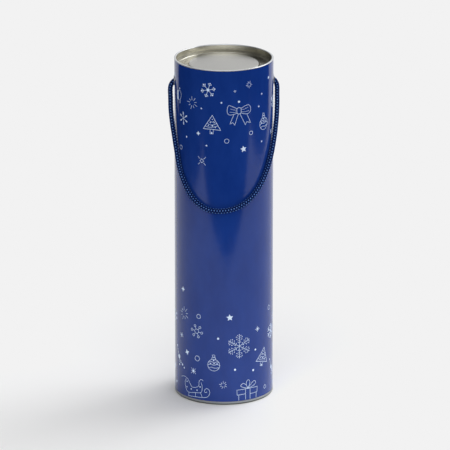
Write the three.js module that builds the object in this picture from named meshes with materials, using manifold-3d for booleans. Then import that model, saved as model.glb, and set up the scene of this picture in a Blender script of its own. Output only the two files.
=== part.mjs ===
import * as THREE from "three";
import { mergeVertices } from "three/addons/utils/BufferGeometryUtils.js";
import Module from "manifold-3d";

// A tall cylindrical cookie tin: a board tube with a printed wrap and a foil liner, a pressed metal base,
// a metal plug lid, and a cord handle that hangs over the front from two eyelets.
// Millimetres, +Z up. The origin is the centre of the foot, the front is -Y and the eyelets are on -X and +X.

const HEIGHT = 320; // foot to the top of the lid's rim
const BODY_RADIUS = 45.3; // outside of the printed wrap
const ROUND_SEGMENTS = 72; // facets round the tin
const SHEET = 0.3; // thickness of the pressed metal

// The three layers of the wall, each [inner radius, outer radius].
const WRAP = [BODY_RADIUS - 0.15, BODY_RADIUS];
const BOARD = [BODY_RADIUS - 1.05, BODY_RADIUS - 0.2];
const LINER = [BODY_RADIUS - 1.2, BODY_RADIUS - 1.1];
const WALL_BOTTOM = 0.7; // lower edge of the board and the liner, inside the base's fold
const WALL_TOP = HEIGHT - 0.9; // upper edge of the wall, under the lid's rim

// The base: a disc folded over the wall's lower edge.
const BAND_RADIUS = BODY_RADIUS + 0.1;
const BAND_HEIGHT = 2.8;
const BASE_FOLD_RADIUS = LINER[0] - 0.2; // outside of the fold's inner wall
const BASE_PANEL_HEIGHT = 5; // top of the disc, above the foot
const BASE_STEP_HEIGHT = 1.1; // the disc's middle is pressed up by this much
const BASE_STEP_RADIUS = 36.5;

// The lid: a plug with a hemmed rim that rests on the wall's upper edge.
const RIM_RADIUS = BODY_RADIUS + 0.15;
const RIM_HEIGHT = 0.6;
const PLUG_RADIUS = LINER[0] - 0.25;
const PLUG_DEPTH = 8; // top of the rim to the channel's floor
const PANEL_DEPTH = 5.3; // top of the rim to the centre panel
const PANEL_RADIUS = 31;

// The holes and their eyelets.
const HOLE_HEIGHT = HEIGHT - 21;
const HOLE_RADIUS = 3.9;
const EYELET_BORE = 3.3;
const EYELET_LIP = 4.3; // bore at the outer lip
const EYELET_FLANGE = 5.4;
const EYELET_INNER_FLANGE = 4.8;
const EYELET_OUTER_FACE = BODY_RADIUS + 0.9; // how far out along X the outer flange reaches
const EYELET_INNER_FACE = LINER[0] - 0.9;
const EYELET_SEGMENTS = 24;

// The cord and its two knots.
const CORD_DIAMETER = 4.2;
const CORD_SIDES = 10;
const CORD_STEPS = 76;
const KNOT_RADIUS = 6.2;
const KNOT_FACE = 42.4; // how far out along X the knot reaches
const KNOT_LENGTH = 13;
const KNOT_END_ANGLE = 70; // degrees from the bead's middle to its flat ends

// The cord's middle line, from the left knot out through its eyelet, over the front and back to the right one.
const CORD_ROUTE = [
  [-42.8, 0, 299],
  [-43.8, 0, 298.95],
  [-45.6, 0, 298.3],
  [-48.3, 0, 295.9],
  [-49.6, -0.2, 291.6],
  [-49.2, -2.2, 283],
  [-48.8, -5, 273.5],
  [-47.7, -8.9, 262],
  [-46, -13.4, 250],
  [-44.4, -17.7, 239],
  [-41.4, -23.8, 221],
  [-36.5, -30.7, 207.5],
  [-30.7, -36.5, 198],
  [-23.8, -41.4, 192],
  [-16.3, -44.9, 188.7],
  [-8.3, -47, 187.8],
  [0, -47.7, 188.4],
  [8.3, -47, 190.4],
  [16.3, -44.9, 194.1],
  [23.8, -41.4, 199.8],
  [30.7, -36.5, 207.8],
  [36.5, -30.7, 218.3],
  [41.4, -23.8, 231.5],
  [45.2, -15.5, 247.8],
  [46.8, -11.6, 257.3],
  [48, -8, 267.3],
  [49, -4.8, 277.2],
  [49.2, -2.2, 285],
  [49.6, -0.2, 291.6],
  [48.3, 0, 295.9],
  [45.6, 0, 298.3],
  [43.8, 0, 298.95],
  [42.8, 0, 299],
];

const TINPLATE = { color: 0xb4b4ae, roughness: 0.34, metalness: 1 };
const PRINT_BLUE = { color: 0x16357c, roughness: 0.2, metalness: 0.1 };
const BOARD_GREY = { color: 0x9b8f7d, roughness: 0.9, metalness: 0 };
const FOIL = { color: 0xc9cacb, roughness: 0.3, metalness: 1 };
const EYELET_STEEL = { color: 0xa9abad, roughness: 0.25, metalness: 1 };
const CORD_NAVY = { color: 0x101d3c, roughness: 0.85, metalness: 0 };

const wasm = await Module();
wasm.setup();

// A closed mesh as a solid that can be cut.
function toSolid(geometry) {
  const bare = geometry.clone();
  bare.deleteAttribute("normal");
  bare.deleteAttribute("uv");
  const merged = mergeVertices(bare);
  return new wasm.Manifold(
    new wasm.Mesh({
      numProp: 3,
      vertProperties: new Float32Array(merged.attributes.position.array),
      triVerts: new Uint32Array(merged.index.array),
    }),
  );
}

function fromSolid(solid) {
  const cut = solid.getMesh();
  const geometry = new THREE.BufferGeometry();
  geometry.setAttribute("position", new THREE.BufferAttribute(cut.vertProperties, 3));
  geometry.setIndex(new THREE.BufferAttribute(cut.triVerts, 1));
  geometry.computeVertexNormals();
  return geometry;
}

// Points on a quarter circle or less, from one angle to another, in degrees.
function arc(centreR, centreZ, radius, fromDegrees, toDegrees, steps) {
  const points = [];
  for (let i = 0; i <= steps; i += 1) {
    const angle = THREE.MathUtils.degToRad(fromDegrees + ((toDegrees - fromDegrees) * i) / steps);
    points.push([centreR + radius * Math.cos(angle), centreZ + radius * Math.sin(angle)]);
  }
  return points;
}

// A body of revolution about Z from an outline of [radius, height] points.
function turned(outline, segments = ROUND_SEGMENTS) {
  const points = outline.map(([radius, height]) => new THREE.Vector2(radius, height));
  return new THREE.LatheGeometry(points, segments).rotateX(Math.PI / 2);
}

// One layer of the wall, with the two holes for the eyelets.
function wallLayer([inner, outer], bottom) {
  const ring = turned([
    [inner, bottom],
    [outer, bottom],
    [outer, WALL_TOP],
    [inner, WALL_TOP],
    [inner, bottom],
  ]);
  const drill = new THREE.CylinderGeometry(HOLE_RADIUS, HOLE_RADIUS, 3 * BODY_RADIUS, EYELET_SEGMENTS);
  drill.rotateZ(Math.PI / 2);
  drill.translate(0, 0, HOLE_HEIGHT);
  return fromSolid(toSolid(ring).subtract(toSolid(drill)));
}

// The base disc: the outline runs under the disc, round the foot and the band, and back along its top.
function baseEnd() {
  const middle = BASE_PANEL_HEIGHT + BASE_STEP_HEIGHT;
  const recess = BASE_FOLD_RADIUS - SHEET;
  return turned([
    [0, middle - SHEET],
    [BASE_STEP_RADIUS - 1, middle - SHEET],
    [BASE_STEP_RADIUS + 1, BASE_PANEL_HEIGHT - SHEET],
    [recess - 0.3, BASE_PANEL_HEIGHT - SHEET],
    [recess, BASE_PANEL_HEIGHT - SHEET - 0.3],
    ...arc(recess + 0.4, 0.4, 0.4, 180, 270, 3),
    ...arc(BAND_RADIUS - 0.4, 0.4, 0.4, 270, 360, 3),
    [BAND_RADIUS, BAND_HEIGHT],
    [BAND_RADIUS - 0.2, BAND_HEIGHT],
    [BAND_RADIUS - 0.2, 0.4],
    [BASE_FOLD_RADIUS, 0.4],
    [BASE_FOLD_RADIUS, BASE_PANEL_HEIGHT - 0.3],
    [BASE_FOLD_RADIUS - 0.3, BASE_PANEL_HEIGHT],
    [BASE_STEP_RADIUS + 1.1, BASE_PANEL_HEIGHT],
    [BASE_STEP_RADIUS - 0.9, middle],
    [0, middle],
  ]);
}

// The lid: the outline runs under the panel and channel, up to the rim, round its hem and back inside.
function plugLid() {
  const channel = HEIGHT - PLUG_DEPTH;
  const panel = HEIGHT - PANEL_DEPTH;
  const inner = PLUG_RADIUS - SHEET;
  const hem = RIM_HEIGHT / 2;
  return turned([
    [0, panel - SHEET],
    [PANEL_RADIUS, panel - SHEET],
    [PANEL_RADIUS + 0.9, channel - SHEET],
    ...arc(PLUG_RADIUS - 0.9, channel + 0.6, 0.9, 270, 360, 3),
    [PLUG_RADIUS, HEIGHT - RIM_HEIGHT],
    ...arc(RIM_RADIUS - hem, HEIGHT - hem, hem, -90, 90, 6),
    ...arc(inner + 0.4, HEIGHT - 0.4, 0.4, 90, 180, 3),
    [inner, channel + 0.6],
    [inner - 0.6, channel],
    [PANEL_RADIUS + 1.1, channel],
    [PANEL_RADIUS + 0.2, panel],
    [0, panel],
  ]);
}

// An eyelet about its own axis, turned to point along +X: the inner flange, the bore and the flared outer lip.
function eyelet() {
  const outline = [
    [EYELET_BORE + 0.3, EYELET_INNER_FACE + 0.4],
    [EYELET_INNER_FLANGE, EYELET_INNER_FACE + 0.4],
    [EYELET_INNER_FLANGE, EYELET_INNER_FACE + 0.2],
    [EYELET_INNER_FLANGE - 0.4, EYELET_INNER_FACE],
    [EYELET_BORE + 0.2, EYELET_INNER_FACE],
    [EYELET_BORE, EYELET_INNER_FACE + 0.3],
    [EYELET_BORE, BODY_RADIUS - 0.2],
    [EYELET_BORE + 0.3, BODY_RADIUS + 0.4],
    [EYELET_LIP, EYELET_OUTER_FACE],
    [EYELET_LIP + 0.6, EYELET_OUTER_FACE],
    [EYELET_FLANGE, EYELET_OUTER_FACE - 0.4],
    [EYELET_FLANGE, BODY_RADIUS + 0.15],
    [EYELET_BORE + 0.3, BODY_RADIUS + 0.15],
    [EYELET_BORE + 0.3, EYELET_INNER_FACE + 0.4],
  ].reverse();
  return turned(outline, EYELET_SEGMENTS).rotateY(Math.PI / 2);
}

// A knot as a plump bead on the X axis, flat at both ends, with its outer face next to the eyelet.
function knot() {
  const half = KNOT_LENGTH / 2;
  const endSine = Math.sin(THREE.MathUtils.degToRad(KNOT_END_ANGLE));
  const side = arc(0, 0, 1, -KNOT_END_ANGLE, KNOT_END_ANGLE, 8).map(([across, along]) => [
    across * KNOT_RADIUS,
    KNOT_FACE - half + (along / endSine) * half,
  ]);
  return turned([[0, KNOT_FACE - KNOT_LENGTH], ...side, [0, KNOT_FACE]], 16).rotateY(Math.PI / 2);
}

// The cord as a round section drawn along its route.
function handleCord() {
  const route = new THREE.CatmullRomCurve3(CORD_ROUTE.map((point) => new THREE.Vector3(...point)));
  const section = new THREE.Shape(
    Array.from({ length: CORD_SIDES }, (_, i) => {
      const angle = (2 * Math.PI * i) / CORD_SIDES;
      return new THREE.Vector2(Math.cos(angle), Math.sin(angle)).multiplyScalar(CORD_DIAMETER / 2);
    }),
  );
  return new THREE.ExtrudeGeometry(section, { steps: CORD_STEPS, extrudePath: route, bevelEnabled: false });
}

function addPart(parent, name, geometry, finish) {
  const mesh = new THREE.Mesh(geometry, new THREE.MeshStandardMaterial(finish));
  mesh.name = name;
  parent.add(mesh);
  return mesh;
}

const tin = new THREE.Group();

const body = new THREE.Group();
addPart(body, "board_tube", wallLayer(BOARD, WALL_BOTTOM), BOARD_GREY);
addPart(body, "printed_wrap", wallLayer(WRAP, BAND_HEIGHT + 0.3), PRINT_BLUE);
addPart(body, "foil_liner", wallLayer(LINER, WALL_BOTTOM), FOIL);
addPart(body, "base_end", baseEnd(), TINPLATE);
tin.add(body);

addPart(tin, "lid", plugLid(), TINPLATE);

const handle = new THREE.Group();
addPart(handle, "handle_cord", handleCord(), CORD_NAVY);
tin.add(handle);

// Each side has an eyelet and a knot; the left pair is the right pair turned half a turn about Z.
for (const [side, turn] of [["right", 0], ["left", Math.PI]]) {
  const rim = addPart(body, `eyelet_${side}`, eyelet(), EYELET_STEEL);
  const stop = addPart(handle, `knot_${side}`, knot(), CORD_NAVY);
  for (const piece of [rim, stop]) {
    piece.position.z = HOLE_HEIGHT;
    piece.rotation.z = turn;
  }
}

export default tin;
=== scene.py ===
"""A tall cookie tin: a glossy printed tube, a sunk plug lid, a pressed base and a braided cord handle.

Metres, in the CAD model's frame: +Z up, the front is -Y, and the eyelets are on -X and +X.
Outlines and motifs are drawn in millimetres and scaled by MM.
"""

import math

import bmesh
import bpy
from mathutils import Matrix, Vector


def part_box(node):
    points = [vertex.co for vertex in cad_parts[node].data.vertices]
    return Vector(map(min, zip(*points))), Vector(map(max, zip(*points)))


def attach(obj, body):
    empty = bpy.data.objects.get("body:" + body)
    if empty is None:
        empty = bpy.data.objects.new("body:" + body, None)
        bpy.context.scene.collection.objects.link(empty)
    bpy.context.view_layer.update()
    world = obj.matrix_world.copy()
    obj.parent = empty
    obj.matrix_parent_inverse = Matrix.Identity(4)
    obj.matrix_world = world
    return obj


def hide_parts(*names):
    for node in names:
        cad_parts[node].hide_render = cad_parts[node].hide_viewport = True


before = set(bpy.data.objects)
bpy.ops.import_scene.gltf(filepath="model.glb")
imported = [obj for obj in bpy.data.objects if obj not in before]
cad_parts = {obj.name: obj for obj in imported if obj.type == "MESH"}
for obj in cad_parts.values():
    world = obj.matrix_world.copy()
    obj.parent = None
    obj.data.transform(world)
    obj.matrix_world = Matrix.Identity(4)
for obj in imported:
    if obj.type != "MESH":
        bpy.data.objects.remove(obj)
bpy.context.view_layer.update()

MM = 0.001

# ---------- sizes, from the frame

wrap_low, wrap_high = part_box("printed_wrap")
board_low, board_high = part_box("board_tube")
liner_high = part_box("foil_liner")[1]
base_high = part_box("base_end")[1]
lid_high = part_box("lid")[1]
eyelet_low, eyelet_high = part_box("eyelet_right")
knot_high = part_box("knot_right")[1]

WRAP_R = wrap_high.x / MM
BOARD_R = board_high.x / MM
LINER_R = liner_high.x / MM
BAND_R = base_high.x / MM
RIM_R = lid_high.x / MM
TOP = lid_high.z / MM
WALL_TOP = wrap_high.z / MM
WRAP_BOTTOM = wrap_low.z / MM
WALL_BOTTOM = board_low.z / MM
HOLE_Z = (eyelet_low.z + eyelet_high.z) / 2 / MM
FLANGE_R = (eyelet_high.z - eyelet_low.z) / 2 / MM
EYELET_IN = eyelet_low.x / MM
HOLE_R = 3.9  # the drilled hole in the wall
WRAP_THICK = 0.15
BOARD_THICK = 0.85
LINER_THICK = 0.1
TIN_THICK = 0.3  # the lid's and the base's sheet
RIM_GAP = 0.2  # between the rim and the wall's upper edge
RIM_HEIGHT = TOP - WALL_TOP - RIM_GAP
PANEL_R = 31  # the lid's raised centre panel
PANEL_DEPTH = 5.3  # of the centre panel below the rim
CHANNEL_DEPTH = 8  # of the channel round the panel below the rim
BAND_GAP = 0.3  # between the base's band and the wrap's lower edge
BAND_HEIGHT = WRAP_BOTTOM - BAND_GAP
ROUND = 256  # segments round the tin

# ---------- camera

VIEW_AZIMUTH = math.radians(-3.3)
VIEW_ELEVATION = math.radians(17.7)
VIEW_DISTANCE = 4.5
LENS_MM = 391.3
AIM = Vector((0.00106, 0.0, 0.1596))


def new_object(name, data):
    made = bpy.data.objects.new(name, data)
    bpy.context.scene.collection.objects.link(made)
    return made


def make_camera():
    data = bpy.data.cameras.new("camera")
    data.lens = LENS_MM
    data.sensor_width = 36
    data.clip_end = 60
    camera = new_object("camera", data)
    back = Vector((
        math.sin(VIEW_AZIMUTH) * math.cos(VIEW_ELEVATION),
        -math.cos(VIEW_AZIMUTH) * math.cos(VIEW_ELEVATION),
        math.sin(VIEW_ELEVATION),
    ))
    camera.location = AIM + back * VIEW_DISTANCE
    camera.rotation_mode = "QUATERNION"
    camera.rotation_quaternion = (-back).to_track_quat("-Z", "Y")
    bpy.context.scene.camera = camera


make_camera()

# ---------- materials


def new_material(name, color, **sockets):
    """A Principled material. The keywords are its socket names with _ for a space."""
    material = bpy.data.materials.new(name)
    material.use_nodes = True
    principled = material.node_tree.nodes["Principled BSDF"]
    principled.inputs["Base Color"].default_value = (*color, 1)
    for socket, value in sockets.items():
        principled.inputs[socket.replace("_", " ")].default_value = value
    return material


def add_node(material, kind, links=(), **values):
    """A shader node. links are (input socket, a node's output or a plain value), values its attributes."""
    tree = material.node_tree
    made = tree.nodes.new("ShaderNode" + kind)
    for key, value in values.items():
        setattr(made, key, value)
    for socket, source in links:
        if hasattr(source, "is_output"):
            tree.links.new(made.inputs[socket], source)
        else:
            made.inputs[socket].default_value = source
    return made


def math_node(material, operation, *values):
    """The result of a maths node on outputs or plain values."""
    return add_node(material, "Math", enumerate(values), operation=operation).outputs[0]


def noise(material, stretch, detail=3, roughness=0.6):
    """Noise in the object's own axes: stretch is its cycles per metre along each."""
    place = add_node(material, "TexCoord").outputs["Object"]
    scaled = add_node(material, "VectorMath", [(0, place), (1, stretch)], operation="MULTIPLY")
    made = add_node(material, "TexNoise", [
        ("Vector", scaled.outputs[0]), ("Scale", 1.0), ("Detail", detail), ("Roughness", roughness),
    ])
    return made.outputs["Fac"]


def ramp(material, value, stops):
    """A colour ramp with stops (position, (r, g, b))."""
    made = add_node(material, "ValToRGB", [(0, value)])
    band = made.color_ramp
    band.elements[0].position, band.elements[0].color = stops[0][0], (*stops[0][1], 1)
    band.elements[1].position, band.elements[1].color = stops[-1][0], (*stops[-1][1], 1)
    for position, color in stops[1:-1]:
        band.elements.new(position).color = (*color, 1)
    return made.outputs["Color"]


def mapped(material, value, low, high, start=0.3, end=0.7):
    """The value's stretch from start to end, spread from low to high and held there beyond it."""
    made = add_node(material, "MapRange", [
        ("Value", value), ("From Min", start), ("From Max", end), ("To Min", low), ("To Max", high),
    ])
    return made.outputs["Result"]


def connect(material, socket, output):
    principled = material.node_tree.nodes["Principled BSDF"]
    material.node_tree.links.new(principled.inputs[socket], output)


def add_bump(material, height, distance, below=None):
    """Relief of that distance in metres, on top of the relief given as below."""
    links = [("Height", height), ("Distance", distance), ("Strength", 1.0)]
    if below is not None:
        links.append(("Normal", below))
    made = add_node(material, "Bump", links)
    connect(material, "Normal", made.outputs["Normal"])
    return made.outputs["Normal"]


def printed_film(name, dark, light):
    """Ink under a glossy film: a faint mottle in the ink, and the slight vertical drag of a rolled sheet."""
    material = new_material(name, dark, Roughness=0.1, IOR=1.43)
    mottle = noise(material, (60, 60, 25), detail=4)
    connect(material, "Base Color", ramp(material, mottle, [(0.35, dark), (0.65, light)]))
    drag = noise(material, (900, 900, 6), detail=2)
    connect(material, "Roughness", mapped(material, drag, 0.08, 0.13))
    fine = add_bump(material, drag, 0.000003)
    ripple = add_bump(material, noise(material, (170, 170, 300), detail=2), 0.00003, below=fine)
    add_bump(material, noise(material, (45, 45, 9), detail=1), 0.00006, below=ripple)
    return material


def tinplate(name, roughness, levels):
    """Bright tinplate, polished round the tin when it was spun: level streaks in tone, gloss and relief.

    levels are (height in millimetres, colour) from the lowest up, with the colours blended between them.
    """
    material = new_material(name, levels[0][1], Metallic=1.0)
    streak = noise(material, (12, 12, 1400), detail=2, roughness=0.5)
    cloud = noise(material, (25, 25, 25), detail=1)
    place = add_node(material, "TexCoord").outputs["Object"]
    height = add_node(material, "SeparateXYZ", [(0, place)]).outputs["Z"]
    low, high = levels[0][0], levels[-1][0]
    level = mapped(material, height, 0.0, 1.0, start=low * MM, end=high * MM)
    tone = ramp(material, level, [((z - low) / (high - low), color) for z, color in levels])
    lines = ramp(material, streak, [(0.35, (0.92, 0.92, 0.92)), (0.65, (1, 1, 1))])
    both = add_node(
        material, "Mix", [(0, 1.0), (6, tone), (7, lines)], data_type="RGBA", blend_type="MULTIPLY")
    connect(material, "Base Color", both.outputs[2])
    dull = math_node(material, "ADD", streak, cloud)
    connect(material, "Roughness", mapped(material, dull, *roughness, start=0.7, end=1.3))
    add_bump(material, streak, 0.000004)
    return material


def foil():
    """Rolled aluminium foil on board: fine bright streaks and soft dents."""
    material = new_material("foil", (0.72, 0.73, 0.74), Metallic=1.0, Roughness=0.28)
    streak = noise(material, (420, 420, 12), detail=4)
    connect(material, "Roughness", mapped(material, streak, 0.2, 0.36))
    fine = add_bump(material, streak, 0.00001)
    add_bump(material, noise(material, (70, 70, 50), detail=2), 0.0002, below=fine)
    return material


def greyboard():
    material = new_material("greyboard", (0.42, 0.37, 0.30), Roughness=0.9)
    fibre = noise(material, (900, 900, 2600), detail=5, roughness=0.75)
    connect(material, "Base Color", ramp(material, fibre, [
        (0.3, (0.30, 0.26, 0.21)), (0.55, (0.43, 0.38, 0.31)), (0.75, (0.58, 0.53, 0.45)),
    ]))
    add_bump(material, fibre, 0.00006)
    return material


def nickel():
    material = new_material("nickel", (0.55, 0.55, 0.54), Metallic=1.0, Roughness=0.3)
    wear = noise(material, (600, 600, 600), detail=4)
    connect(material, "Roughness", mapped(material, wear, 0.26, 0.44))
    add_bump(material, wear, 0.000008)
    return material


def braid_yarn():
    """Filament yarn: pale where a strand rides over another, a painted highlight, and nearly black between,
    painted shade.
    """
    material = new_material("cord_navy", (0.004, 0.02, 0.11), Roughness=0.5, Specular_IOR_Level=0.06)
    uv = add_node(material, "TexCoord").outputs["UV"]
    crest = add_node(material, "Attribute", attribute_name="crest").outputs["Fac"]
    twist = add_node(material, "TexWave", [
        ("Vector", uv), ("Scale", 1.0), ("Distortion", 2.5), ("Detail", 2.0), ("Detail Scale", 1.5),
    ], wave_type="BANDS", bands_direction="DIAGONAL").outputs["Fac"]
    specks = add_node(material, "TexNoise", [
        ("Vector", uv), ("Scale", 0.55), ("Detail", 3.0), ("Roughness", 0.7),
    ]).outputs["Fac"]
    lit = math_node(material, "MULTIPLY_ADD", specks, 0.7, -0.35)
    # The ramp paints the light: its pale end is a painted highlight on strands that ride over, its dark end
    # painted shade between them; the specks add random flecks.
    connect(material, "Base Color", ramp(material, math_node(material, "ADD", crest, lit), [
        (0.0, (0.0, 0.003, 0.045)), (0.4, (0.0004, 0.010, 0.085)), (0.65, (0.014, 0.07, 0.27)),
        (0.95, (0.24, 0.42, 0.82)),
    ]))
    add_bump(material, twist, 0.00006)
    return material


# Each ink's darker and lighter tone.
INK_BLUE = ((0.006, 0.032, 0.205), (0.009, 0.040, 0.235))
INK_WHITE = ((0.62, 0.76, 1.0), (0.70, 0.83, 1.0))
# The tinplate's tones, from the lid's lowest level to its rim, and up the base.
LID_CHANNEL = (0.47, 0.46, 0.41)
LID_PANEL = (0.405, 0.405, 0.385)
LID_WALL = (0.58, 0.56, 0.475)
LID_RIM = (0.62, 0.64, 0.66)
# The base's darker foot is painted shade: the contact shadow under its lower edge.
PAINTED_CONTACT_SHADE = (0.14, 0.15, 0.14)
BASE_BAND = (0.36, 0.385, 0.40)
PANEL_Z = TOP - PANEL_DEPTH

print_blue = printed_film("print_blue", *INK_BLUE)
print_white = printed_film("print_white", *INK_WHITE)
lid_metal = tinplate("lid_tinplate", (0.22, 0.26), [
    (TOP - CHANNEL_DEPTH, LID_CHANNEL), (PANEL_Z - 0.5, LID_CHANNEL),
    (PANEL_Z - 0.2, LID_PANEL), (PANEL_Z + 0.1, LID_PANEL),
    (PANEL_Z + 0.4, LID_WALL), (TOP - 1, LID_WALL),
    (TOP - 0.7, LID_RIM), (TOP, LID_RIM),
])
# Its lowest 1.1 mm carry that painted contact shade, blending into the band's tone by 1.7 mm.
base_metal = tinplate("base_tinplate", (0.24, 0.36), [
    (0, PAINTED_CONTACT_SHADE), (1.1, PAINTED_CONTACT_SHADE), (1.7, BASE_BAND), (6.5, BASE_BAND),
])
foil_metal = foil()
board_grey = greyboard()
eyelet_nickel = nickel()
cord_navy = braid_yarn()

# ---------- mesh helpers

SHARP_DEGREES = 40  # edges that turn more than this stay crisp
ON_AXIS = 1e-6  # an outline's point nearer the axis than this is on it
FINE_ROW = 1.5  # height of a wall's rows near the holes
COARSE_ROW = 12
FINE_REACH = 9


def add_object(name, mesh, material):
    mesh.materials.append(material)
    return new_object(name, mesh)


def finish_piece(piece, body, slot, *nodes):
    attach(piece, body)
    if nodes:
        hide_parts(*nodes)


def side_name(side):
    return "right" if side > 0 else "left"


def finished_mesh(name, mesh):
    """The faces drawn in a bmesh, as the mesh of an object."""
    made = bpy.data.meshes.new(name)
    mesh.to_mesh(made)
    mesh.free()
    return made


def rounded(corners, steps=5):
    """An outline of (radius, height) points from (radius, height, fillet) corners. A corner whose fillet is 0
    stays sharp."""
    points = []
    count = len(corners)
    for index, (r, z, fillet) in enumerate(corners):
        here = Vector((r, z))
        if fillet == 0:
            points.append(here)
            continue
        before = (Vector(corners[index - 1][:2]) - here).normalized()
        after = (Vector(corners[(index + 1) % count][:2]) - here).normalized()
        half = before.angle(after) / 2
        start = here + before * fillet / math.tan(half)
        middle = here + (before + after).normalized() * fillet / math.sin(half)
        turn = (start - middle).angle_signed(here + after * fillet / math.tan(half) - middle)
        for step in range(steps + 1):
            points.append(middle + Matrix.Rotation(-turn * step / steps, 2) @ (start - middle))
    return points


def turned_mesh(name, outline, segments=ROUND, shape=None):
    """A body of revolution about Z. An outline that doesn't start on the axis closes on itself.

    shape(angle, radius, height) may move a point, and gives its new (radius, height).
    """
    mesh = bmesh.new()
    columns = []
    for index in range(segments):
        angle = 2 * math.pi * index / segments
        column = []
        for r, z in outline:
            if r < ON_AXIS and columns:
                column.append(columns[0][len(column)])
                continue
            if shape is not None:
                r, z = shape(angle, r, z)
            column.append(mesh.verts.new((r * math.sin(angle) * MM, -r * math.cos(angle) * MM, z * MM)))
        columns.append(column)
    closed = outline[0][0] > ON_AXIS
    rows = range(len(outline) if closed else len(outline) - 1)
    for index in range(segments):
        here, following = columns[index], columns[(index + 1) % segments]
        for row in rows:
            after = (row + 1) % len(outline)
            corners = [here[row], following[row], following[after], here[after]]
            unique = [v for i, v in enumerate(corners) if v not in corners[:i]]
            mesh.faces.new(unique)
    bmesh.ops.recalc_face_normals(mesh, faces=mesh.faces)
    made = finished_mesh(name, mesh)
    made.shade_smooth()
    made.set_sharp_from_angle(angle=math.radians(SHARP_DEGREES))
    return made


def turned(name, outline, material, **options):
    return add_object(name, turned_mesh(name, outline, **options), material)


def drilled(piece):
    """Cuts the two round holes that the eyelets sit in."""
    bpy.ops.mesh.primitive_cylinder_add(
        vertices=64, radius=HOLE_R * MM, depth=3 * WRAP_R * MM,
        location=(0, 0, HOLE_Z * MM), rotation=(0, math.pi / 2, 0))
    drill = bpy.context.object
    cut = piece.modifiers.new("holes", "BOOLEAN")
    cut.operation = "DIFFERENCE"
    cut.solver = "EXACT"
    cut.object = drill
    bpy.context.view_layer.update()
    evaluated = piece.evaluated_get(bpy.context.evaluated_depsgraph_get())
    mesh = bpy.data.meshes.new_from_object(evaluated)
    piece.modifiers.clear()
    piece.data = mesh
    bpy.data.objects.remove(drill)
    return piece


def wall_heights(low, high):
    """Heights from low to high for a wall's rows of faces, closer together round the holes."""
    heights = [low]
    while heights[-1] < high:
        step = FINE_ROW if abs(heights[-1] - HOLE_Z) < FINE_REACH else COARSE_ROW
        heights.append(min(high, heights[-1] + step))
    if heights[-1] - heights[-2] < FINE_ROW / 2:
        heights.pop(-2)
    return heights


# ---------- cord

CORD_DIAMETER = 0.0042
# The cord's middle line in metres, from the left eyelet down over the front and up to the right one.
CORD_ROUTE = [
    (-0.0428, 0, 0.2998), (-0.04462, 0, 0.29895), (-0.0463, 0, 0.29758), (-0.0476, 0, 0.29585),
    (-0.0485, -0.0001, 0.2937), (-0.0489, -0.0004, 0.2912), (-0.0488, -0.0022, 0.283),
    (-0.0487, -0.005, 0.2735), (-0.0477, -0.0089, 0.262), (-0.046, -0.0134, 0.25), (-0.0444, -0.0177, 0.239),
    (-0.0414, -0.0238, 0.221), (-0.0365, -0.0307, 0.2075), (-0.0307, -0.0365, 0.198),
    (-0.0238, -0.0414, 0.192), (-0.0163, -0.0449, 0.1887), (-0.0083, -0.047, 0.1878), (0, -0.0477, 0.1884),
    (0.0083, -0.047, 0.1904), (0.0163, -0.0449, 0.1941), (0.0238, -0.0414, 0.1998),
    (0.0307, -0.0365, 0.2078), (0.0365, -0.0307, 0.2183), (0.0414, -0.0238, 0.2315),
    (0.0452, -0.0155, 0.2478), (0.0467, -0.0116, 0.2573), (0.0478, -0.008, 0.2673),
    (0.0484, -0.0048, 0.2772), (0.0485, -0.0022, 0.285), (0.0486, -0.0005, 0.2911),
    (0.04828, -0.0001, 0.29385), (0.04741, 0, 0.29596), (0.04616, 0, 0.29767), (0.04454, 0, 0.29904),
    (0.0428, 0, 0.2999),
]
CARRIERS = 3  # strands wound each way
BRAID_TURN = 820  # radians of winding per metre of cord
STRAND_ACROSS = 0.00106  # half a strand's width
STRAND_THICK = 0.00044  # half its thickness
CREST_RADIUS = 0.00244  # where they cross, the strands stand a little proud of the cord's nominal radius
CORD_STEP = 0.00035
STRAND_SIDES = 8
CORE_SIDES = 12
# The yarn pattern's pace along and round a strand, and how far it is shifted from one strand to the next.
UV_PER_STEP = 1.2
UV_ROUND = 8
UV_PER_CARRIER = 37.0
UV_PER_WAY = 11
KNOT_OUT = 0.0004  # how far past the CAD knot's outer face the braided one starts
# A tight overhand knot along X, from its face at the eyelet to its tail inside the tin, in cord radii.
KNOT_PATH = [
    (0.0, 0.0, 0.0), (-0.8, 0.1, 0.1), (-1.7, 0.9, 0.6), (-2.6, 1.3, -0.6), (-2.6, 0.1, -1.6),
    (-1.6, -1.3, -1.0), (-1.5, -1.2, 0.9), (-2.6, 0.0, 1.7), (-3.9, 1.2, 0.9), (-4.2, 0.9, -0.8),
    (-3.4, -0.6, -1.3), (-3.3, -1.0, 0.0), (-4.2, -0.5, 0.6), (-5.6, 0.0, 0.2), (-7.0, 0.1, -0.3),
    (-8.4, 0.1, -1.0),
]


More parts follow.
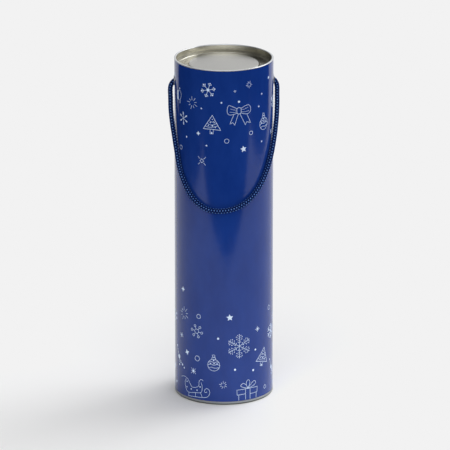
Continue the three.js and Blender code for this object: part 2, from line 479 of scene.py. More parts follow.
def smooth_line(points, step):
    """A centripetal Catmull-Rom curve through the points, as points a step apart along it."""
    points = [Vector(p) for p in points]
    knots = [0.0]
    for a, b in zip(points, points[1:]):
        knots.append(knots[-1] + (b - a).length ** 0.5)

    def slope(i):
        if i == 0 or i == len(points) - 1:
            j = max(i, 1)
            return (points[j] - points[j - 1]) / (knots[j] - knots[j - 1])
        before = (points[i] - points[i - 1]) / (knots[i] - knots[i - 1])
        after = (points[i + 1] - points[i]) / (knots[i + 1] - knots[i])
        share = (knots[i + 1] - knots[i]) / (knots[i + 1] - knots[i - 1])
        return before * share + after * (1 - share)

    dense = []
    for i, (a, b) in enumerate(zip(points, points[1:])):
        span = knots[i + 1] - knots[i]
        pieces = max(2, int((b - a).length / step * 3))
        for n in range(pieces):
            t = n / pieces
            dense.append(
                a * (2 * t**3 - 3 * t**2 + 1) + slope(i) * span * (t**3 - 2 * t**2 + t)
                + b * (3 * t**2 - 2 * t**3) + slope(i + 1) * span * (t**3 - t**2))
    dense.append(points[-1])
    line, travelled, due = [dense[0]], 0.0, step
    for a, b in zip(dense, dense[1:]):
        length = (b - a).length
        while travelled + length >= due:
            line.append(a.lerp(b, (due - travelled) / length))
            due += step
        travelled += length
    if (line[-1] - points[-1]).length > step / 3:
        line.append(points[-1])
    return line


def carried_frames(line):
    """At each point of the line, two directions across it that turn with it and don't twist."""
    across = (line[1] - line[0]).orthogonal().normalized()
    frames = []
    for index in range(len(line)):
        along = (line[min(index + 1, len(line) - 1)] - line[max(index - 1, 0)]).normalized()
        across = (across - along * across.dot(along)).normalized()
        frames.append((along, across, along.cross(across)))
    return frames


def add_tube(mesh, centres, frames, wide, thick, sides, offset, crests=None):
    """A closed tube with an oval section: wide and thick are its half sizes, and frames are (along, sideways,
    outward) at each centre.

    crests says how far each section rides over the other strands, from 0 to 1, and its outward side carries
    that value, which the yarn's material paints as highlight where high and as shade where low. offset shifts
    the yarn pattern.
    """
    uv_layer = mesh.loops.layers.uv.verify()
    crest_layer = mesh.verts.layers.float["crest"]
    rings = []
    for row, (centre, (_, sideways, outward)) in enumerate(zip(centres, frames)):
        ring = []
        for side in range(sides):
            c, s = math.cos(2 * math.pi * side / sides), math.sin(2 * math.pi * side / sides)
            vert = mesh.verts.new(centre + sideways * wide * c + outward * thick * s)
            if crests:
                vert[crest_layer] = crests[row] * max(0.0, s) ** 2
            ring.append(vert)
        rings.append(ring)
    for row in range(len(rings) - 1):
        for side in range(sides):
            following = (side + 1) % sides
            here, after = rings[row], rings[row + 1]
            face = mesh.faces.new((here[side], here[following], after[following], after[side]))
            face.smooth = True
            spots = ((row, side), (row, side + 1), (row + 1, side + 1), (row + 1, side))
            for loop, (u, v) in zip(face.loops, spots):
                loop[uv_layer].uv = (offset + u * UV_PER_STEP, v / sides * UV_ROUND)
    mesh.faces.new(list(reversed(rings[0])))
    mesh.faces.new(rings[-1])


def braid_mesh(name, line):
    """A round braid along a line: strands wound both ways, over and under each other, on a plain core."""
    frames = carried_frames(line)
    mesh = bmesh.new()
    mesh.loops.layers.uv.new("UVMap")
    mesh.verts.layers.float.new("crest")
    weave = 0.75 * STRAND_THICK  # how far a strand moves out and in as it passes over and under
    centre_radius = CREST_RADIUS - weave - STRAND_THICK
    for way in (1, -1):
        for carrier in range(CARRIERS):
            centres, strand_frames, crests = [], [], []
            for index, (point, (along, side, up)) in enumerate(zip(line, frames)):
                travelled = index * CORD_STEP
                angle = 2 * math.pi * carrier / CARRIERS + way * BRAID_TURN * travelled
                outward = side * math.cos(angle) + up * math.sin(angle)
                over = way * math.cos(CARRIERS * BRAID_TURN * travelled)
                centres.append(point + outward * (centre_radius + weave * over))
                lean = way * BRAID_TURN * centre_radius
                sideways = (along.cross(outward) - along * lean).normalized()
                strand_frames.append((along, sideways, outward))
                # How far the strand rides over: the material paints it as highlight where high and as shade
                # where low.
                crests.append(max(0.0, over))
            offset = UV_PER_CARRIER * carrier + way * UV_PER_WAY
            add_tube(mesh, centres, strand_frames, STRAND_ACROSS, STRAND_THICK, STRAND_SIDES, offset, crests)
    core = centre_radius - 0.3 * weave  # it fills the gaps between the strands
    add_tube(mesh, line, frames, core, core, CORE_SIDES, 0.0)
    bmesh.ops.recalc_face_normals(mesh, faces=mesh.faces)
    return finished_mesh(name, mesh)


def make_cord():
    line = smooth_line(CORD_ROUTE, CORD_STEP)
    cord = add_object("cord", braid_mesh("cord", line), cord_navy)
    finish_piece(cord, "handle", "cord", "handle_cord")
    knots = [make_knot(-1), make_knot(1)]


def make_knot(side):
    radius = CORD_DIAMETER / 2
    start = Vector((side * (knot_high.x + KNOT_OUT), 0, HOLE_Z * MM))
    points = [start + Vector((side * x, side * y, z)) * radius for x, y, z in KNOT_PATH]
    node = "knot_" + side_name(side)
    name = node + "_braid"
    knot = add_object(name, braid_mesh(name, smooth_line(points, CORD_STEP)), cord_navy)
    finish_piece(knot, "handle", "cord", node)
    return knot


make_cord()

# ---------- wall: wrap, board and liner

LAP_ANGLE = math.pi  # the wrap's lap is at the back
LAP_HALF = 6 / 45  # half the lap's width, as an angle
LAP_RISE = 0.13
LAP_START = -1.6  # where the soft edge begins, in half widths from the lap's middle, and how wide it is
LAP_SOFT = 1.2
SPIRAL_PITCH = 190  # height the liner's spiral lap climbs in one turn
SPIRAL_WIDTH = 9
SPIRAL_RISE = 0.12


def lap(angle, r, z):
    """The wrap's outer face steps out where its end laps over its start: one crisp edge and one soft."""
    if r < WRAP_R - WRAP_THICK / 2:
        return r, z
    across = (angle - LAP_ANGLE) / LAP_HALF
    rise = 0.0 if across > 1 else max(0.0, min(1.0, (across - LAP_START) / LAP_SOFT))
    return r + LAP_RISE * rise, z


def spiral_lap(angle, r, z):
    """The liner is wound in a spiral: its lap stands a little proud of the inner face."""
    if r > LINER_R - LINER_THICK / 2:
        return r, z
    climb = (z - SPIRAL_PITCH * angle / (2 * math.pi)) % SPIRAL_PITCH
    return (r - SPIRAL_RISE if climb < SPIRAL_WIDTH else r), z


def wall_outline(outer, thick, heights):
    """The section of a wall: up its outer face and down its inner one."""
    up = [Vector((outer, z)) for z in heights]
    down = [Vector((outer - thick, z)) for z in reversed(heights)]
    return up + down


def make_wall():
    heights = wall_heights(WRAP_BOTTOM, WALL_TOP)
    wrap = drilled(turned("wrap", wall_outline(WRAP_R, WRAP_THICK, heights), print_blue, shape=lap))
    finish_piece(wrap, "tin_body", "printed_sheet", "printed_wrap")

    heights = wall_heights(WALL_BOTTOM, WALL_TOP)
    board = drilled(turned("board", wall_outline(BOARD_R, BOARD_THICK, heights), board_grey))
    finish_piece(board, "tin_body", "board", "board_tube")

    outline = wall_outline(LINER_R, LINER_THICK, heights)
    liner = drilled(turned("liner", outline, foil_metal, shape=spiral_lap))
    finish_piece(liner, "tin_body", "foil", "foil_liner")


make_wall()

# ---------- base and lid

BASE_PANEL_R = 35.5  # the base's centre panel, a step above the ring round it
BASE_PANEL_Z = 5.8  # height of the panel's underside
BASE_STEP_R = 37.5  # inner radius of the ring
BASE_RING_Z = 4.7  # height of the ring's underside
BAND_THICK = 0.2
FOLD_THICK = 0.35  # the base's sheet where it turns round the wall's lower edge
FOLD_GAP = 0.3  # from the liner's outer radius in to the base's inner wall
PLUG_GAP = 0.35  # from the liner's outer radius in to the lid's plug


def make_base():
    """The outline runs along the underside from the middle, up and down the band, and back along the top."""
    fold_out = LINER_R - FOLD_GAP
    fold_in = fold_out - TIN_THICK
    band_in = BAND_R - BAND_THICK
    ring_top, panel_top = BASE_RING_Z + TIN_THICK, BASE_PANEL_Z + TIN_THICK
    outline = rounded([
        (0, BASE_PANEL_Z, 0), (BASE_PANEL_R, BASE_PANEL_Z, 1.0), (BASE_STEP_R, BASE_RING_Z, 0.8),
        (fold_in, BASE_RING_Z, 1.0), (fold_in, 0, 0.5), (BAND_R, 0, 1.0), (BAND_R, BAND_HEIGHT, 0.08),
        (band_in, BAND_HEIGHT, 0.08), (band_in, FOLD_THICK, 0.1), (fold_out, FOLD_THICK, 0.1),
        (fold_out, ring_top, 0.9), (BASE_STEP_R + 0.1, ring_top, 0.8), (BASE_PANEL_R + 0.1, panel_top, 1.0),
        (0, panel_top, 0),
    ])
    base = turned("base", outline, base_metal)
    finish_piece(base, "tin_body", "tinplate", "base_end")


def make_lid():
    plug = LINER_R - PLUG_GAP
    inner = plug - TIN_THICK
    channel = TOP - CHANNEL_DEPTH
    below_panel, below_channel = PANEL_Z - TIN_THICK, channel - TIN_THICK
    below_rim = TOP - RIM_HEIGHT
    hem = RIM_HEIGHT / 2 - 0.01  # the rim is rolled, so its edge is nearly a half circle
    outline = rounded([
        (0, below_panel, 0), (PANEL_R + 1.1, below_panel, 1.4), (PANEL_R + 1.6, below_channel, 0.7),
        (plug, below_channel, 0.7), (plug, below_rim, 0.1), (RIM_R, below_rim, hem),
        (RIM_R, TOP, hem), (inner, TOP, 0.45), (inner, channel, 0.5), (PANEL_R + 1.9, channel, 0.4),
        (PANEL_R + 1.4, PANEL_Z, 1.7), (0, PANEL_Z, 0),
    ], steps=7)
    lid = turned("plug_lid", outline, lid_metal)
    finish_piece(lid, "lid", "tinplate", "lid")


make_base()
make_lid()

# ---------- eyelets

LIP_RISE = 0.4  # height of the flange's outer face over the wrap
FLANGE_RISE = 0.12  # height of its inner face
FLANGE_TRIM = 0.8  # the flange is this much smaller than the CAD's
CURL_R = 4.8  # radius of the curled edge inside the tin
CURL_THICK = 0.45
EYELET_THICK = 0.3
BARREL_GAP = 0.3  # between the barrel and the hole


def make_eyelet(side):
    """An eyelet turned about its own axis: a thin outer flange, a flared bore and a curled inner edge."""
    barrel = HOLE_R - BARREL_GAP
    bore = barrel - EYELET_THICK
    lip = WRAP_R + LIP_RISE
    rest = WRAP_R + FLANGE_RISE
    flange = FLANGE_R - FLANGE_TRIM
    curl = EYELET_IN + CURL_THICK
    outline = rounded([
        (barrel, curl, 0.05), (CURL_R, curl, 0.1), (CURL_R, EYELET_IN, 0.2),
        (bore, EYELET_IN, 0.25), (bore, WRAP_R - 0.3, 0.4), (bore + 0.5, lip, 0.1),
        (flange, lip, 0.2), (flange, rest, 0.03), (barrel, rest, 0.05),
    ])
    name = "eyelet_ring_" + side_name(side)
    mesh = turned_mesh(name, outline, segments=96)
    mesh.transform(Matrix.Rotation(side * math.pi / 2, 4, "Y"))
    mesh.transform(Matrix.Translation((0, 0, HOLE_Z * MM)))
    eyelet = add_object(name, mesh, eyelet_nickel)
    finish_piece(eyelet, "tin_body", "eyelet_metal", "eyelet_" + side_name(side))


make_eyelet(-1)
make_eyelet(1)

# ---------- print: white line motifs

LINE = 0.32  # width of a printed line
INK_UP = 0.05  # how far the ink stands above the sheet
INK_DOWN = 0.03
LONGEST = 1.4  # a printed line is cut into pieces no longer than this
CAP_ANGLES = (20, 50)  # where a round end of a line has its corners, from its tip
RING_STEP = 20  # degrees between a ring's corners
SPOT_STEP = 30
MITRE_LIMIT = 0.6  # a sharp corner is no wider than the line divided by this
FLAKE_ARMS = 6
BURST_RAYS = 9


def polar(radius, degrees):
    return (radius * math.cos(math.radians(degrees)), radius * math.sin(math.radians(degrees)))


def stroke(*points, width=LINE, closed=False):
    """A part of a motif: (kind, points, width, closed). This one runs straight from point to point."""
    return ("line", list(points), width, closed)


def soft(*points, width=LINE, closed=False, steps=5):
    """A stroke that runs smoothly through its points."""
    ends = list(points)
    count = len(ends)
    line = []
    for i in range(count if closed else count - 1):
        around = range(i - 1, i + 3)
        near = [ends[k % count] if closed else ends[min(max(k, 0), count - 1)] for k in around]
        for n in range(steps):
            t = n / steps
            weights = (
                (-t + 2 * t**2 - t**3) / 2, (2 - 5 * t**2 + 3 * t**3) / 2,
                (t + 4 * t**2 - 3 * t**3) / 2, (t**3 - t**2) / 2)
            line.append(tuple(sum(w * p[axis] for w, p in zip(weights, near)) for axis in (0, 1)))
    if not closed:
        line.append(ends[-1])
    return ("line", line, width, closed)


def circle(x, y, radius, step):
    return [(x + px, y + py) for px, py in (polar(radius, a) for a in range(0, 360, step))]


def ring(x, y, radius):
    return ("line", circle(x, y, radius, RING_STEP), LINE, True)


def filled(*points):
    """A patch of solid ink."""
    return ("fill", list(points), 0, True)


def spot(x, y, radius):
    return filled(*circle(x, y, radius, SPOT_STEP))


def shifted(parts, scale=1.0, turn=0.0):
    """The parts of a motif scaled and turned by degrees. The width of its lines stays."""
    c, s = math.cos(math.radians(turn)), math.sin(math.radians(turn))
    made = []
    for kind, points, width, closed in parts:
        moved = [(x * scale * c - y * scale * s, x * scale * s + y * scale * c) for x, y in points]
        made.append((kind, moved, width, closed))
    return made


def arms(arm):
    """One arm of a flake, drawn upwards, repeated round the centre."""
    return [part for i in range(FLAKE_ARMS) for part in shifted(arm, turn=360 * i / FLAKE_ARMS)]


def bold_flake(size):
    """Thin arms that fork near their ends, a bead on every tip and a big one in the middle."""
    r = size / 2
    arm = [stroke((0, 0), (0, 0.85 * r), width=0.36), spot(0, 0.88 * r, 0.1 * r)]
    for side in (76, 104):
        tip = polar(0.8 * r, side)
        arm += [stroke((0, 0.56 * r), tip, width=0.3), spot(*tip, 0.06 * r)]
    return arms(arm) + [spot(0, 0, 0.2 * r)]


def drop_flake(size):
    """Six drops on thin arms."""
    r = size / 2
    stem = stroke((0, 0), (0, 0.5 * r), width=0.35)
    drop = stroke((0, 0.62 * r), (0, 0.88 * r), width=0.2 * r)
    return arms([stem, drop])


def plain_flake(size):
    """Arms that fork near their ends."""
    r = size / 2
    fork = [stroke((0, 0.62 * r), polar(0.92 * r, side), width=0.5) for side in (70, 110)]
    return arms([stroke((0, 0), (0, r), width=0.55), *fork])


def ringed_flake(size):
    """A hexagon with a ring on a short stem at each corner."""
    r = size / 2
    side_of_hexagon = stroke(polar(0.36 * r, 90), polar(0.36 * r, 150))
    return arms([side_of_hexagon, stroke((0, 0.36 * r), (0, 0.66 * r)), ring(0, 0.83 * r, 0.16 * r)])


def fern_flake(size):
    """Arms with pairs of slanting twigs, and a bead on the end of every twig."""
    r = size / 2
    arm = [stroke((0, 0), (0, r), width=0.32), spot(0, r, 0.4)]
    for along, reach in ((0.29, 0.13), (0.47, 0.26), (0.65, 0.31), (0.83, 0.18)):
        for side in (34, 146):
            tip_x, tip_y = polar(reach * r, side)
            tip = (tip_x, along * r + tip_y)
            arm.append(stroke((0, along * r), tip, width=0.16))
            arm.append(spot(*tip, 0.38))
    return arms(arm)


def burst(size):
    """Rays round an empty middle, long and short by turns."""
    r = size / 2
    rays = []
    for i in range(BURST_RAYS):
        angle = 90 + 360 * i / BURST_RAYS
        reach = 1.0 if i % 2 == 0 else 0.8
        rays.append(stroke(polar(0.45 * r, angle), polar(reach * r, angle)))
    return rays


def starlet(size):
    """A spark with a small solid middle and thin rays, long and short by turns."""
    r = size / 2
    rays = [
        stroke(polar(0.3 * r, 45 * i), polar(r if i % 2 else 0.72 * r, 45 * i), width=0.34)
        for i in range(8)]
    return rays + [spot(0, 0, 0.3 * r)]


def pointed_star(size, points, inner):
    """A filled star. inner is its notches' share of its radius."""
    radii = (0.5, 0.5 * inner) * points
    return shifted([filled(*[polar(r, 90 + 180 * i / points) for i, r in enumerate(radii)])], size)


def star(size):
    return pointed_star(size, 5, 0.48)


def spark(size):
    return pointed_star(size, 4, 0.46)


def dot(size):
    return [spot(0, 0, size / 2)]


def soft_dot(size):
    """A dot printed at half strength, as a fine screen of dots."""
    grid = (-0.9, -0.3, 0.3, 0.9)
    return [spot(x, y, size / 14) for x in grid for y in grid if abs(x * y) < 0.8]


def hoop(size):
    return [ring(0, 0, size / 2 - LINE / 2)]


def diamond_cross(size):
    r = size / 2
    corners = [polar(0.36 * r, 90 * i) for i in range(4)]
    rays = [stroke(polar(0.5 * r, 45 + 90 * i), polar(r, 45 + 90 * i)) for i in range(4)]
    return [stroke(*corners, closed=True), *rays]


def bow(scale):
    pleats = [
        [(-2.0, 0.6), (-5.2, 1.2), (-8.2, 2.2)], [(-2.0, -1.0), (-5.4, -1.3), (-9.0, -0.8)],
        [(2.0, 0.6), (5.6, 1.2), (9.3, 2.6)], [(2.0, -1.0), (6.0, -1.6), (10.4, -0.8)],
    ]
    return shifted([
        soft((-1.9, 2.0), (-6.6, 4.6), (-9.9, 5.5), (-11.2, 3.0), (-11.3, -1.2), (-9.2, -3.6), (-5.0, -3.2),
             (-1.9, -2.2)),
        soft((1.9, 2.0), (5.8, 4.1), (9.7, 4.8), (11.7, 2.6), (11.9, -1.4), (9.8, -3.5), (5.8, -3.6),
             (1.9, -2.2)),
        *[soft(*pleat, width=0.2, steps=4) for pleat in pleats],
        stroke((-5.2, -3.6), (-8.8, -12.6), (-6.1, -11.2), (-4.2, -13.8), (-0.8, -3.2)),
        stroke((0.9, -3.2), (6.4, -14.4), (7.8, -11.6), (11.9, -12.8), (8.0, -3.8)),
        soft((-1.8, 2.4), (0, 3.1), (1.8, 2.4), (2.1, 0), (1.8, -2.4), (0, -3.1), (-1.8, -2.4), (-2.1, 0),
             closed=True),
    ], scale)


def fir_tree(scale):
    return shifted([
        stroke((-8.1, -5.5), (0, -5.1), (8.1, -5.5), (0, 8.0), closed=True, width=0.4),
        stroke((-1.5, -5.4), (-1.5, -9.4), (1.5, -9.4), (1.5, -5.4)), spot(0, -8.5, 0.75),
        soft((-2.4, 2.8), (0.2, 1.6), (2.4, 3.2)),
        soft((-4.4, 0.0), (-1.0, -1.2), (2.4, -0.5), (4.2, 0.9)),
        soft((-6.0, -2.9), (-3.0, -3.4), (1.4, -2.9), (5.6, -1.4)),
        spot(0.2, 4.3, 0.45), spot(-1.6, 1.0, 0.5), spot(2.0, 1.2, 0.5), spot(-3.4, -1.8, 0.5),
        spot(0.4, -1.9, 0.6), spot(3.2, -3.2, 0.5),
    ], scale)


def bauble(scale):
    return shifted([
        ring(0, -2.4, 6.1),
        stroke((-2.0, 3.6), (-1.7, 5.6), (1.7, 5.6), (2.0, 3.6)),
        ring(0, 7.1, 1.3),
        soft((-5.6, 0.2), (-2.6, 1.2), (0.4, 0.2), (3.2, 1.2), (5.5, 0.4)),
        soft((-6.0, -2.6), (-2.8, -1.5), (0.4, -2.5), (3.2, -1.5), (6.0, -2.4)),
        soft((-5.0, -5.4), (-2.0, -4.6), (1.0, -5.5), (5.0, -4.8)),
        spot(-3.2, -0.9, 0.6), spot(0.4, -0.8, 0.6), spot(3.4, -0.8, 0.6), spot(0, 2.4, 0.7),
    ], scale)


def sleigh(scale):
    return shifted([
        soft((-17.9, 5.0), (-13.5, 6.4), (-8.8, 5.4), (-5.7, 1.8), (-2.6, -1.6), (2.4, -0.7), (4.9, 1.5),
             (5.0, 5.0), (6.9, 7.6), (9.3, 6.8)),
        soft((-10.4, 5.2), (-12.0, 0.8), (-11.4, -3.0), (-9.4, -6.6), (-6.2, -7.6), (0.6, -6.3), (7.3, -4.9),
             (8.3, 1.0), (7.1, 4.6)),
        soft((-7.3, -11.1), (1.5, -10.3), (9.0, -9.7), (13.5, -8.6), (15.8, -5.1), (15.4, -2.0), (13.0, -0.4),
             (10.8, -2.2), (11.3, -4.5), (13.2, -3.8)),
        stroke((-6.8, -7.6), (-7.2, -11.1)), stroke((1.0, -6.3), (1.3, -10.3)),
        stroke((6.5, -5.1), (8.4, -9.7)),
        spot(-9.3, 2.3, 0.6), spot(-9.4, -3.0, 0.55), spot(-3.9, -3.8, 0.7), spot(2.9, -3.6, 0.65),
        spot(6.2, 0.2, 0.65),
    ], scale)


def gift(scale):
    return shifted([
        stroke((-2.1, 0.6), (-10.6, 0.3), (-10.4, -4.6), (-2.1, -4.2), closed=True),
        stroke((2.7, 0.7), (11.0, 0.6), (10.7, -4.6), (2.7, -4.9), closed=True),
        stroke((-8.9, -4.5), (-8.8, -9.7)), stroke((9.7, -4.6), (9.6, -9.7)),
        stroke((-2.1, -4.2), (-2.0, -9.7)), stroke((2.7, -4.9), (2.7, -9.7)), stroke((-2.1, 0.6), (2.7, 0.7)),
        soft((0.3, 1.0), (-3.4, 2.0), (-7.0, 3.9), (-4.6, 6.2), (-1.4, 4.3), (0.3, 1.0)),
        soft((0.3, 1.0), (-1.3, 4.8), (-0.8, 8.0), (1.1, 9.0), (2.5, 6.6), (1.6, 3.2), (0.3, 1.0)),
        soft((0.5, 1.0), (3.6, 4.4), (7.2, 7.1), (9.2, 5.2), (7.4, 3.0), (3.8, 1.7), (0.5, 1.0)),
    ], scale)


def charm(scale):
    """A hung charm, solid down one side."""
    return shifted([
        filled((-3.4, 3.4), (-1.0, 4.2), (-0.8, -4.4), (-3.2, -4.8)),
        soft((-1.0, 4.2), (2.4, 4.6), (4.6, 1.0), (3.0, -3.4), (-0.8, -4.4), steps=4),
        spot(1.6, 6.6, 0.8), stroke((2.2, -4.4), (2.2, -7.2), width=0.8),
    ], scale)


def sprig(scale):
    """A berry on a twig, with buds round it."""
    return shifted([
        spot(0, 0, 2.0), soft((-4.4, 9.6), (-2.6, 5.0), (0, 0), (2.4, -3.4), (6.0, -6.0)),
        soft((0.6, -1.6), (0.2, -4.6), (2.6, -5.4), (3.4, -2.8), steps=4),
        spot(-4.4, 9.6, 0.8), spot(6.2, -6.2, 1.0), spot(0.8, -7.4, 0.9), spot(9.0, -8.6, 0.8),
    ], scale)


# Each motif with its azimuth from the front in degrees, its height in millimetres, its size in millimetres
# or its scale, and its turn in degrees.
UPPER_PRINT = [
    (bold_flake, -21.7, 301.3, 14.4, -18), (burst, -42.5, 286.9, 12, 5), (burst, 27, 305.2, 6.2, 20),
    (soft_dot, 9.5, 300.4, 3.0, 0), (dot, -6, 289.9, 1.5, 0), (dot, -30, 283.2, 1.4, 0),
    (dot, 14.3, 290.3, 2.0, 0), (dot, 46, 293.9, 1.6, 0), (dot, 41, 282.8, 1.5, 0),
    (dot, 60, 306.6, 2.4, 0), (dot, 70, 285, 1.8, 0), (bow, 14.4, 281.8, 0.96, 0),
    (drop_flake, -57.3, 270, 12.4, 4), (fir_tree, -17, 269.7, 1, -2), (bauble, 49.7, 267.4, 0.93, 4),
    (spark, -34, 259.3, 4.4, 0), (dot, -51.5, 253.4, 1.7, 0),
    (dot, -23.6, 248.7, 1.6, 0), (dot, 46, 248.9, 1.6, 0), (hoop, 0, 253.8, 4.4, 0),
    (hoop, 29.7, 259.4, 3.8, 0), (hoop, -62.5, 241.5, 4.2, 0), (star, 19.9, 245.2, 6.2, 8),
    (diamond_cross, -29.5, 233.7, 10.5, 0), (charm, -67.5, 290, 1, 0), (plain_flake, 76, 281, 12, 0),
    (starlet, 68, 254, 5.5, 0), (dot, -79, 262, 2.2, 0), (ringed_flake, 73, 238, 11, 15),
    (hoop, -82, 306, 4.6, 0), (dot, 86, 300, 2.4, 0), (burst, -84, 238, 9, 0),
]
LOWER_PRINT = [
    (burst, -57, 83, 13, 0), (hoop, -34, 84, 4.4, 0), (hoop, 63, 86, 4.6, 0), (star, 3.6, 84.8, 6.6, 4),
    (spark, -59, 106.2, 5.4, 0), (starlet, -62, 61, 5.6, 15), (ringed_flake, -36.7, 69.3, 13, 20),
    (starlet, 39.7, 70, 5.2, 45), (dot, -10, 64.5, 2.1, 0), (dot, 36.5, 50.5, 1.8, 0), (dot, 9.8, 34, 2.0, 0),
    (dot, 33.3, 31, 2.1, 0), (plain_flake, 68, 62, 14, 0), (fern_flake, 15, 56.5, 22.4, 0),
    (spark, -51.5, 46.5, 5.6, 20), (sprig, -68.5, 38.5, 1, 0), (hoop, -36, 43, 5.2, 0),
    (bauble, -15.2, 40.8, 0.93, 0), (fir_tree, 49.2, 42, 1, -15), (starlet, -41.5, 30, 7.4, 0),
    (sleigh, -40, 15.5, 1, 0), (burst, -4, 19.5, 7.4, 0), (gift, 25.5, 13.6, 1, 0),
    (hoop, 53.3, 11, 3.8, 0), (sprig, 71, 26, 0.9, 0),
    (dot, 79, 46, 2.4, 0), (burst, 80, 74, 10, 0), (bold_flake, -82, 76, 12, 0), (dot, -77, 12, 2.6, 0),
    (star, -84, 26, 6, 0), (hoop, 82, 9, 4.4, 0),
]


def on_wrap(x, y, azimuth, height, up):
    """A point of the print: x round the tin and y up it from the motif's place, and up from the sheet."""
    angle = math.radians(azimuth) + x / WRAP_R
    radius = lap(angle % (2 * math.pi), WRAP_R, 0)[0] + up
    return Vector((radius * math.sin(angle), -radius * math.cos(angle), height + y)) * MM


def divided(points, closed):
    """The line's points, with more between any two that are far apart."""
    ends = points + points[:1] if closed else points
    line = []
    for a, b in zip(ends, ends[1:]):
        pieces = max(1, math.ceil(math.dist(a, b) / LONGEST))
        line += [Vector(a).lerp(Vector(b), n / pieces) for n in range(pieces)]
    return line if closed else line + [Vector(ends[-1])]


def line_sections(points, width, closed):
    """(left, right) pairs of points along a line, with mitred corners and, at open ends, round caps."""
    line = divided(points, closed)
    half = width / 2
    cap = [polar(1.0, angle) for angle in CAP_ANGLES]
    sections = []
    for i, point in enumerate(line):
        before = line[i - 1] if closed or i else point
        after = line[(i + 1) % len(line)] if closed or i < len(line) - 1 else point
        into = (point - before).normalized() if before is not point else (after - point).normalized()
        out = (after - point).normalized() if after is not point else into
        along = (into + out).normalized() if (into + out).length > 1e-6 else out
        mitre = half / max(MITRE_LIMIT, along.dot(out))
        across = Vector((-along.y, along.x)) * mitre
        here = [(point, across)]
        if not closed and i == 0:
            here = [(point - along * half * on, across * share) for on, share in cap] + here
        if not closed and i == len(line) - 1:
            here += [(point + along * half * on, across * share) for on, share in reversed(cap)]
        sections += [(middle + reach, middle - reach) for middle, reach in here]
    return sections


def add_line(mesh, place, points, width, closed):
    rows = []
    for left, right in line_sections(points, width, closed):
        corners = [(left, INK_UP), (right, INK_UP), (right, -INK_DOWN), (left, -INK_DOWN)]
        rows.append([mesh.verts.new(place(p.x, p.y, up)) for p, up in corners])
    pairs = list(zip(rows, rows[1:])) + ([(rows[-1], rows[0])] if closed else [])
    for a, b in pairs:
        for i in range(4):
            j = (i + 1) % 4
            mesh.faces.new((a[i], a[j], b[j], b[i]))
    if not closed:
        mesh.faces.new(list(reversed(rows[0])))
        mesh.faces.new(rows[-1])


def add_fill(mesh, place, points):
    middle = sum((Vector(p) for p in points), Vector((0, 0))) / len(points)
    tops = [mesh.verts.new(place(*p, INK_UP)) for p in points]
    feet = [mesh.verts.new(place(*p, -INK_DOWN)) for p in points]
    top, foot = mesh.verts.new(place(*middle, INK_UP)), mesh.verts.new(place(*middle, -INK_DOWN))
    for i in range(len(points)):
        j = (i + 1) % len(points)
        mesh.faces.new((top, tops[i], tops[j]))
        mesh.faces.new((foot, feet[j], feet[i]))
        mesh.faces.new((tops[i], feet[i], feet[j], tops[j]))


def make_print(name, layout):
    """One band of motifs, printed twice round the tin."""
    mesh = bmesh.new()
    for repeat in (0, 180):
        for motif, azimuth, height, size, turn in layout:

            def place(x, y, up):
                return on_wrap(x, y, azimuth + repeat, height, up)

            for kind, points, width, closed in shifted(motif(size), turn=turn):
                if kind == "line":
                    add_line(mesh, place, points, width, closed)
                else:
                    add_fill(mesh, place, points)
    bmesh.ops.recalc_face_normals(mesh, faces=mesh.faces)
    motifs = add_object(name, finished_mesh(name, mesh), print_white)
    finish_piece(motifs, "tin_body", "printed_sheet")


make_print("print_upper", UPPER_PRINT)
make_print("print_lower", LOWER_PRINT)

# ---------- studio

# The studio's white sheet is narrow: the glossy front mirrors its edges and the dark floor beyond them.
PAPER_CORNERS = [
    (-0.67, -0.525), (-0.13, -0.505), (0.0, -0.477), (0.35, -0.49), (0.8, -0.5),
    (0.8, 0.52), (1.3, 0.9), (1.3, 5.0), (-1.2, 5.0), (-1.2, 1.0), (-0.67, 0.64),
]
FLOOR_REACH = 16.0
# A square with a corner for each of the paper's, which FLOOR_REACH scales.
FLOOR_CORNERS = [
    (-1, -1), (-0.1, -1), (0, -1), (0.4, -1), (1, -1),
    (1, -0.3), (1, 0.3), (1, 1), (-1, 1), (-1, 0.3), (-1, -0.3),
]
DARK_FLOOR_DROP = 0.004  # how far the dark floor lies below the paper
# A wide softbox on the right and behind, made of adjoining suns: (azimuth from +X, elevation, strength).
KEY_PARTS = [(-8, 20, 0.4), (25, 42, 0.98), (50, 42, 0.42)]
KEY_SPREAD = 30
# Broad soft glows of the room: (azimuth from +X, elevation, strength).
ROOM_GLOWS = [(270, 28, 1.9), (225, 28, 0.08), (90, 28, 0.45), (45, 28, 1.05)]
GLOW_FALLOFF = 3.0  # the larger it is, the narrower a glow
WHITE = 0.887  # the brightest level shown: the backdrop is lit past it, so it comes out flat
HORIZON = 1.0  # the sky's level at the horizon, where the floor ends
HORIZON_END = (0.02, 0.08)  # the glows take over between these sines of the elevation


def direction(azimuth, elevation):
    across, up = math.radians(azimuth), math.radians(elevation)
    return Vector((math.cos(across) * math.cos(up), math.sin(across) * math.cos(up), math.sin(up)))


def add_sheet(name, loops, material):
    """A flat sheet of the studio. loops are its outline, and perhaps a hole with as many corners."""
    mesh = bmesh.new()
    rings = [[mesh.verts.new((x, y, 0)) for x, y in loop] for loop in loops]
    if len(rings) == 1:
        mesh.faces.new(rings[0])
    else:
        outer, inner = rings
        for i in range(len(outer)):
            j = (i + 1) % len(outer)
            mesh.faces.new((outer[i], outer[j], inner[j], inner[i]))
    sheet = add_object(name, finished_mesh(name, mesh), material)
    return sheet


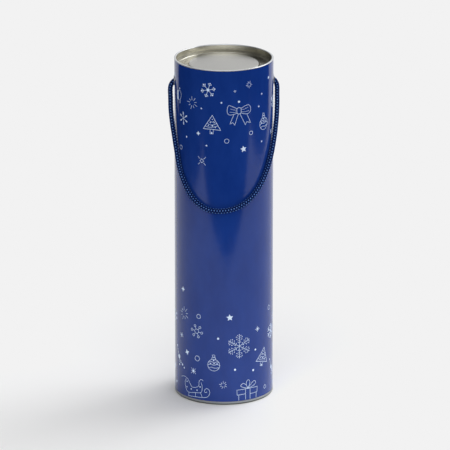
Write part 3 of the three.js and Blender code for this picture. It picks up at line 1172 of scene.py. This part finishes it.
def make_floor():
    """The white sheet, a floor beyond it that only the camera sees, and a dark floor below both that the tin
    mirrors and the camera doesn't see."""
    white = new_material("studio_paper", (0.88, 0.88, 0.88), Roughness=0.8, Specular_IOR_Level=0.1)
    dark = new_material("studio_dark", (0.004, 0.004, 0.005), Roughness=1.0, Specular_IOR_Level=0.0)
    reach = [(FLOOR_REACH * x, FLOOR_REACH * y) for x, y in FLOOR_CORNERS]
    add_sheet("studio_paper", [PAPER_CORNERS], white)
    far = add_sheet("studio_far_floor", [reach, PAPER_CORNERS], white)
    under = add_sheet("studio_dark_floor", [reach], dark)
    under.location.z = -DARK_FLOOR_DROP
    far.visible_diffuse = False
    far.visible_glossy = False
    far.visible_transmission = False
    under.visible_camera = False


def add_key(azimuth, elevation, strength):
    light = bpy.data.lights.new("key", "SUN")
    light.energy = strength
    light.angle = math.radians(KEY_SPREAD)
    holder = new_object("key", light)
    holder.rotation_mode = "QUATERNION"
    holder.rotation_quaternion = direction(azimuth, elevation).to_track_quat("Z", "Y")


def make_world():
    """Soft glows from a few directions, which meet the floor's own brightness at the horizon."""
    world = bpy.data.worlds.new("studio")
    bpy.context.scene.world = world
    world.use_nodes = True
    towards = add_node(world, "TexCoord").outputs["Generated"]
    height = add_node(world, "SeparateXYZ", [(0, towards)]).outputs["Z"]
    total = 0.0
    for azimuth, elevation, strength in ROOM_GLOWS:
        axis = direction(azimuth, elevation)
        facing = add_node(world, "VectorMath", [(0, towards), (1, axis)], operation="DOT_PRODUCT")
        front = math_node(world, "MAXIMUM", facing.outputs["Value"], 0.0)
        lobe = math_node(world, "POWER", front, GLOW_FALLOFF)
        total = math_node(world, "MULTIPLY_ADD", lobe, strength, total)
    steep = math_node(world, "ABSOLUTE", height)
    above = mapped(world, steep, 0.0, 1.0, *HORIZON_END)
    blend = add_node(world, "Mix", [(0, above), (2, HORIZON), (3, total)])
    background = world.node_tree.nodes["Background"]
    background.inputs["Color"].default_value = (1, 1, 1, 1)
    world.node_tree.links.new(background.inputs["Strength"], blend.outputs[0])


make_floor()
for part in KEY_PARTS:
    add_key(*part)
make_world()

# ---------- view


def set_view():
    """Shows the scene's own colours, with every level above WHITE held at it."""
    view = bpy.context.scene.view_settings
    view.view_transform = "Standard"
    view.use_curve_mapping = True
    curves = view.curve_mapping
    curves.extend = "HORIZONTAL"
    curves.curves[3].points[1].location = (WHITE, WHITE)
    for curve in curves.curves:
        for point in curve.points:
            point.handle_type = "VECTOR"
    curves.update()


set_view()
